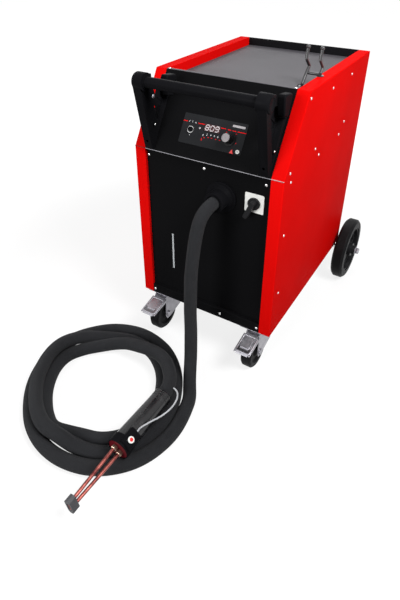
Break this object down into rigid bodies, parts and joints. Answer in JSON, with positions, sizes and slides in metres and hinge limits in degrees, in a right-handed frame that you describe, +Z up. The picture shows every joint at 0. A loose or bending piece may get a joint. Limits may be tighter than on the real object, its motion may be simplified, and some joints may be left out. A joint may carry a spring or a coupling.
{
  "type": "induction heater",
  "caption": "Wheeled workshop induction heater: sheet metal cabinet with sloping control face and push handle, and a hose to a hand torch with a copper coil",
  "frame": {"origin": "On the floor, in the middle of the machine's outline seen from above, measured without the hose", "axes": "+Z up; -Y is the front with the switch, the controls and the torch; +X is the right side seen from the front, where the hose leaves"},
  "size_m": [0.6093, 1.243, 0.815],
  "materials": {
    "body_paint": "smooth bright red powder coat",
    "panel_paint": "satin black powder coat",
    "dark_tray": "fine textured black powder coat",
    "mat_rubber": "ribbed matt black",
    "black_plastic": "moulded, fine grain",
    "gloss_black": "glossy",
    "grey_plastic": "moulded light grey",
    "label_film": "satin overlay film",
    "window_red": "tinted clear window",
    "lamp_lens": "translucent lens",
    "button_white": "moulded white",
    "clear_tube": "clear tube",
    "zinc": "zinc plated, slightly warm",
    "steel": "plain steel",
    "tyre_rubber": "matt black",
    "hub_grey": "moulded grey",
    "hose_sleeve": "woven black sleeve",
    "grip_rubber": "matt black",
    "lead_grey": "light grey jacket",
    "copper": "drawn copper tube",
    "collar_red": "dark red heat resistant moulding",
    "ferrite": "sintered dark grey",
    "board": "circuit board",
    "alu": "plain aluminium",
    "tank": "translucent natural moulding"
  },
  "bodies": {
    "cabinet": {"left_side_panel": "body_paint", "right_side_panel": "body_paint", "base_pan": "panel_paint", "front_panel": "panel_paint", "rear_panel": "panel_paint", "top_tray": "dark_tray", "tray_mat": "mat_rubber", "control_fascia": "panel_paint", "control_board": "board", "control_label": "label_film", "display_window": "window_red", "indicator_lamps": "lamp_lens", "handle_bar": "black_plastic", "handle_cheek_left": "black_plastic", "handle_cheek_right": "black_plastic", "hose_outlet": "black_plastic", "switch_plate": "zinc", "switch_body": "black_plastic", "sight_tube": "clear_tube", "coolant_tank": "tank", "coolant_pump": "black_plastic", "inverter_module": "alu", "output_transformer": "board", "fan_frame": "black_plastic", "radiator": "alu", "mains_gland": "black_plastic", "rear_axle": "steel", "axle_brackets": "zinc", "axle_caps": "grey_plastic", "caster_plate_left": "zinc", "caster_plate_right": "zinc", "torch_boot": "grip_rubber", "torch_grip": "grip_rubber", "torch_collar": "gloss_black", "torch_face": "collar_red", "torch_switch_housing": "gloss_black", "torch_lead": "lead_grey", "copper_coil": "copper", "ferrite_core": "ferrite", "torch_rest": "steel", "hose_drop": "hose_sleeve", "hose_coil": "hose_sleeve"},
    "rear_wheel_left": {"rear_hub_left": "hub_grey", "rear_tyre_left": "tyre_rubber"},
    "rear_wheel_right": {"rear_hub_right": "hub_grey", "rear_tyre_right": "tyre_rubber"},
    "fan": {"fan_rotor": "black_plastic"},
    "caster_left": {"caster_fork_left": "zinc"},
    "caster_right": {"caster_fork_right": "zinc"},
    "caster_left_wheel": {"caster_wheel_left": "tyre_rubber"},
    "caster_right_wheel": {"caster_wheel_right": "tyre_rubber"},
    "brake_left": {"brake_pedal_left": "zinc"},
    "brake_right": {"brake_pedal_right": "zinc"},
    "main_switch": {"main_switch_knob": "black_plastic"},
    "adjust": {"adjust_knob": "black_plastic"},
    "mode": {"mode_button": "zinc"},
    "power": {"power_button": "button_white"},
    "trigger": {"torch_button": "button_white"}
  },
  "joints": [
    {"name": "rear_left_spin", "type": "hinge", "parent": "cabinet", "child": "rear_wheel_left", "pos_m": [-0.23, 0.52, 0.102], "axis": [1, 0, 0], "continuous": true},
    {"name": "rear_right_spin", "type": "hinge", "parent": "cabinet", "child": "rear_wheel_right", "pos_m": [0.23, 0.52, 0.102], "axis": [1, 0, 0], "continuous": true},
    {"name": "fan_spin", "type": "hinge", "parent": "cabinet", "child": "fan", "pos_m": [0, 0.488, 0.336], "axis": [0, 1, 0], "continuous": true},
    {"name": "caster_left_swivel", "type": "hinge", "parent": "cabinet", "child": "caster_left", "pos_m": [-0.151, 0.008, 0.12], "axis": [0, 0, 1], "continuous": true},
    {"name": "caster_right_swivel", "type": "hinge", "parent": "cabinet", "child": "caster_right", "pos_m": [0.151, 0.008, 0.12], "axis": [0, 0, 1], "continuous": true},
    {"name": "caster_left_roll", "type": "hinge", "parent": "caster_left", "child": "caster_left_wheel", "pos_m": [-0.151, -0.026, 0.05], "axis": [1, 0, 0], "continuous": true},
    {"name": "caster_right_roll", "type": "hinge", "parent": "caster_right", "child": "caster_right_wheel", "pos_m": [0.151, -0.026, 0.05], "axis": [1, 0, 0], "continuous": true},
    {"name": "brake_left_press", "type": "hinge", "parent": "caster_left", "child": "brake_left", "pos_m": [-0.151, -0.03, 0.1095], "axis": [1, 0, 0], "range_deg": [0, 10]},
    {"name": "brake_right_press", "type": "hinge", "parent": "caster_right", "child": "brake_right", "pos_m": [0.151, -0.03, 0.1095], "axis": [1, 0, 0], "range_deg": [0, 10]},
    {"name": "main_switch_turn", "type": "hinge", "parent": "cabinet", "child": "main_switch", "pos_m": [0.13, -0.0365, 0.5045], "axis": [0, 1, 0], "range_deg": [0, 90]},
    {"name": "adjust_turn", "type": "hinge", "parent": "cabinet", "child": "adjust", "pos_m": [0.047, -0.0107, 0.6321], "axis": [0, 0.8517, -0.5241], "continuous": true},
    {"name": "mode_press", "type": "slide", "parent": "cabinet", "child": "mode", "axis": [0, 0.8517, -0.5241], "range_m": [0, 0.0015], "stiffness_N_per_m": 600},
    {"name": "power_press", "type": "slide", "parent": "cabinet", "child": "power", "axis": [0, 0.8517, -0.5241], "range_m": [0, 0.0015], "stiffness_N_per_m": 600},
    {"name": "trigger_press", "type": "slide", "parent": "cabinet", "child": "trigger", "axis": [-0.6691, 0, -0.7431], "range_m": [0, 0.002], "stiffness_N_per_m": 600}
  ]
}
